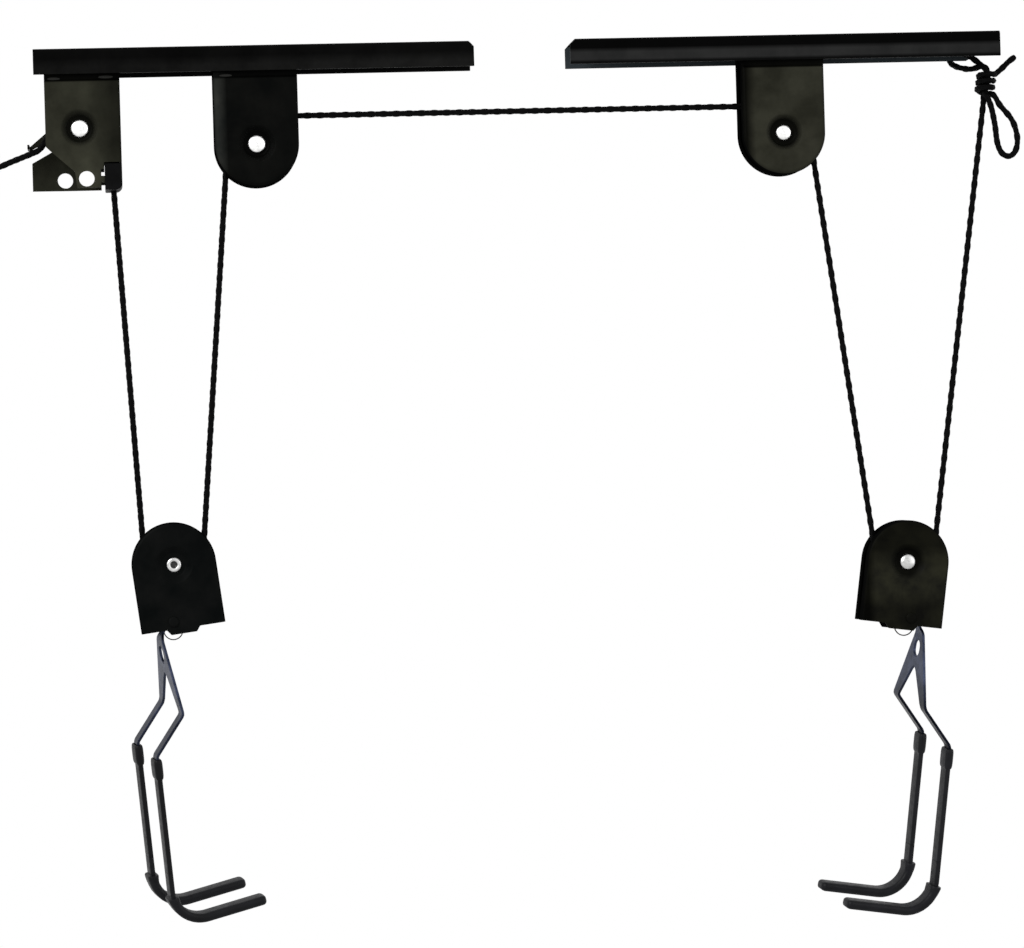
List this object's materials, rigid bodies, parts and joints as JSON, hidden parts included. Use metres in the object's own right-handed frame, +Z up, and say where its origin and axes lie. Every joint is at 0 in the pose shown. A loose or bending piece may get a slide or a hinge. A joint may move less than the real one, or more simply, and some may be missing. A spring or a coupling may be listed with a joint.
{
  "type": "ceiling bike lift",
  "caption": "Rope-and-pulley bicycle hoist: two ceiling bars with a rope lock and pulleys, and two hanging pulley blocks with padded fork hooks.",
  "frame": {"origin": "on the ceiling plane, between the two bars, in the rope's middle plane", "axes": "+X along the bars to the right, +Y to the back, +Z up into the ceiling"},
  "size_m": [0.8768, 0.1091, 0.7025],
  "materials": {
    "black_steel": "semi-gloss black coating",
    "zinc_steel": "bright zinc plate",
    "black_plastic": "moulded, satin",
    "sleeve_vinyl": "soft vinyl, satin",
    "hook_steel": "dark grey-blue, satin",
    "rope_fibre": "braided"
  },
  "bodies": {
    "ceiling_frame": {"left_bar": "black_steel", "right_bar": "black_steel", "lock_bracket": "black_steel", "lock_rope_guide": "black_plastic", "lock_axle": "zinc_steel", "left_pulley_bracket": "black_steel", "left_pulley_axle": "zinc_steel", "right_pulley_bracket": "black_steel", "right_pulley_axle": "zinc_steel", "lock_bracket_rivet_a": "zinc_steel", "lock_bracket_rivet_b": "zinc_steel", "left_bracket_rivet_a": "zinc_steel", "left_bracket_rivet_b": "zinc_steel", "right_bracket_rivet_a": "zinc_steel", "right_bracket_rivet_b": "zinc_steel", "rope_over_lock": "rope_fibre", "rope_over_pulleys": "rope_fibre", "rope_lock_fall": "rope_fibre", "rope_left_fall": "rope_fibre", "rope_right_fall": "rope_fibre", "rope_tied_fall": "rope_fibre", "rope_tie": "rope_fibre", "pull_rope": "rope_fibre", "pull_rope_whipping": "rope_fibre"},
    "lock_wheel": {"lock_sheave": "black_plastic"},
    "left_pulley_wheel": {"left_pulley_sheave": "black_plastic"},
    "right_pulley_wheel": {"right_pulley_sheave": "black_plastic"},
    "left_fall": {"rope_under_left_block": "rope_fibre"},
    "left_block": {"left_block_front_shell": "black_steel", "left_block_rear_shell": "black_steel", "left_block_axle": "zinc_steel", "left_hook_pin": "zinc_steel", "left_pin_ring": "zinc_steel"},
    "left_block_wheel": {"left_block_sheave": "black_plastic"},
    "left_hook": {"left_hook_fork": "hook_steel", "left_hook_front_sleeve": "sleeve_vinyl", "left_hook_front_grip": "sleeve_vinyl", "left_hook_rear_sleeve": "sleeve_vinyl", "left_hook_rear_grip": "sleeve_vinyl"},
    "right_fall": {"rope_under_right_block": "rope_fibre"},
    "right_block": {"right_block_front_shell": "black_steel", "right_block_rear_shell": "black_steel", "right_block_axle": "zinc_steel", "right_hook_pin": "zinc_steel", "right_pin_ring": "zinc_steel"},
    "right_block_wheel": {"right_block_sheave": "black_plastic"},
    "right_hook": {"right_hook_fork": "hook_steel", "right_hook_front_sleeve": "sleeve_vinyl", "right_hook_front_grip": "sleeve_vinyl", "right_hook_rear_sleeve": "sleeve_vinyl", "right_hook_rear_grip": "sleeve_vinyl"}
  },
  "joints": [
    {"name": "left_lift", "type": "slide", "parent": "ceiling_frame", "child": "left_fall", "axis": [0, 0, 1], "range_m": [-0.85, 0.18], "deforming": ["rope_lock_fall", "rope_left_fall"]},
    {"name": "right_lift", "type": "slide", "parent": "ceiling_frame", "child": "right_fall", "axis": [0, 0, 1], "range_m": [-0.85, 0.18], "deforming": ["rope_right_fall", "rope_tied_fall"]},
    {"name": "left_block_swing", "type": "hinge", "parent": "left_fall", "child": "left_block", "pos_m": [-0.2683, 0, -0.404], "axis": [0, 1, 0], "range_deg": [-25, 25]},
    {"name": "left_hook_swing", "type": "hinge", "parent": "left_block", "child": "left_hook", "pos_m": [-0.26989, 0, -0.44853], "axis": [0, 1, 0], "range_deg": [-35, 18]},
    {"name": "right_block_swing", "type": "hinge", "parent": "right_fall", "child": "right_block", "pos_m": [0.3125, 0, -0.42], "axis": [0, 1, 0], "range_deg": [-25, 25]},
    {"name": "right_hook_swing", "type": "hinge", "parent": "right_block", "child": "right_hook", "pos_m": [0.31331, 0, -0.46455], "axis": [0, 1, 0], "range_deg": [-18, 35]},
    {"name": "lock_wheel_spin", "type": "hinge", "parent": "ceiling_frame", "child": "lock_wheel", "pos_m": [-0.3315, 0, -0.062], "axis": [0, 1, 0], "range_deg": [-1839, 8664]},
    {"name": "left_pulley_spin", "type": "hinge", "parent": "ceiling_frame", "child": "left_pulley_wheel", "pos_m": [-0.194, 0, -0.077], "axis": [0, 1, 0], "range_deg": [-922, 4335]},
    {"name": "right_pulley_spin", "type": "hinge", "parent": "ceiling_frame", "child": "right_pulley_wheel", "pos_m": [0.223, 0, -0.077], "axis": [0, 1, 0], "range_deg": [-922, 4335]},
    {"name": "left_block_wheel_spin", "type": "hinge", "parent": "left_block", "child": "left_block_wheel", "pos_m": [-0.2683, 0, -0.404], "axis": [0, 1, 0], "range_deg": [-6499, 1381]},
    {"name": "right_block_wheel_spin", "type": "hinge", "parent": "right_block", "child": "right_block_wheel", "pos_m": [0.3125, 0, -0.42], "axis": [0, 1, 0], "range_deg": [-2170, 464]}
  ],
  "couplings": [
    {"joint": "right_lift", "follows": "left_lift", "ratio": 1},
    {"joint": "lock_wheel_spin", "follows": "left_lift", "rad_per_m": -177.78},
    {"joint": "left_pulley_spin", "follows": "left_lift", "rad_per_m": -88.889},
    {"joint": "right_pulley_spin", "follows": "left_lift", "rad_per_m": -88.889},
    {"joint": "left_block_wheel_spin", "follows": "left_lift", "rad_per_m": 133.33},
    {"joint": "right_block_wheel_spin", "follows": "left_lift", "rad_per_m": 44.444}
  ]
}
